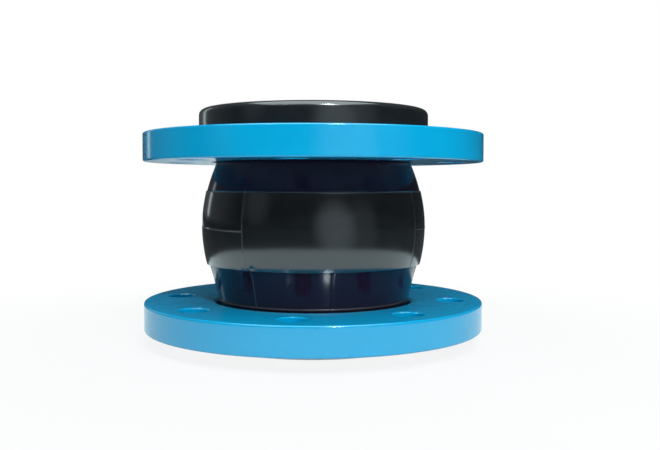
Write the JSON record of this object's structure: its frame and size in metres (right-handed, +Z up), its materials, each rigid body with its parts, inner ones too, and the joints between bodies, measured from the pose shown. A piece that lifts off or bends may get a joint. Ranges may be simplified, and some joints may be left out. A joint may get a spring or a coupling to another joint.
{
  "type": "rubber expansion joint",
  "caption": "Single-arch rubber expansion joint: a black cord-reinforced rubber bellows with a sealing lip at each end and loose blue steel flanges with bolt holes.",
  "frame": {"origin": "centre of the lower sealing face, on which the joint stands", "axes": "+Z up along the pipe axis; +X and +Y across it, with -Y towards the picture's viewer"},
  "size_m": [0.22, 0.22, 0.15],
  "materials": {
    "flange_enamel": "gloss enamel on steel",
    "cover_rubber": "satin moulded",
    "lip_rubber": "satin moulded",
    "liner_rubber": "smooth moulded",
    "rubbered_cord": "rubbered cord fabric",
    "bead_wire": "bronzed steel wire",
    "hard_rubber": "hard rubber"
  },
  "bodies": {
    "lower_end": {"lower_lip": "lip_rubber", "lower_bead_wrap": "rubbered_cord", "lower_bead_wire": "bead_wire", "lower_bead_filler": "hard_rubber"},
    "lower_carcass": {"inner_tube": "liner_rubber", "ply_1": "rubbered_cord", "ply_2": "rubbered_cord"},
    "upper_carcass": {"ply_3": "rubbered_cord", "ply_4": "rubbered_cord", "outer_cover": "cover_rubber"},
    "upper_end": {"upper_lip": "lip_rubber", "upper_bead_wrap": "rubbered_cord", "upper_bead_wire": "bead_wire", "upper_bead_filler": "hard_rubber"},
    "lower_flange": {"lower_flange": "flange_enamel"},
    "upper_flange": {"upper_flange": "flange_enamel"}
  },
  "joints": [
    {"name": "lower_bend", "type": "hinge", "parent": "lower_end", "child": "lower_carcass", "pos_m": [0, 0, 0.0267], "axis": [0, 1, 0], "range_deg": [-7.5, 7.5], "stiffness_Nm_per_rad": 600, "deforming": ["inner_tube", "ply_1", "ply_2", "ply_3", "ply_4", "outer_cover"]},
    {"name": "arch_stretch", "type": "slide", "parent": "lower_carcass", "child": "upper_carcass", "axis": [0, 0, 1], "range_m": [-0.018, 0.01], "stiffness_N_per_m": 90000, "deforming": ["inner_tube", "ply_1", "ply_2", "ply_3", "ply_4", "outer_cover"]},
    {"name": "upper_bend", "type": "hinge", "parent": "upper_carcass", "child": "upper_end", "pos_m": [0, 0, 0.1233], "axis": [0, 1, 0], "range_deg": [-7.5, 7.5], "stiffness_Nm_per_rad": 600, "deforming": ["inner_tube", "ply_1", "ply_2", "ply_3", "ply_4", "outer_cover"]},
    {"name": "lower_flange_turn", "type": "hinge", "parent": "lower_end", "child": "lower_flange", "pos_m": [0, 0, 0.0177], "axis": [0, 0, 1], "continuous": true},
    {"name": "upper_flange_turn", "type": "hinge", "parent": "upper_end", "child": "upper_flange", "pos_m": [0, 0, 0.12513], "axis": [0, 0, 1], "continuous": true}
  ]
}
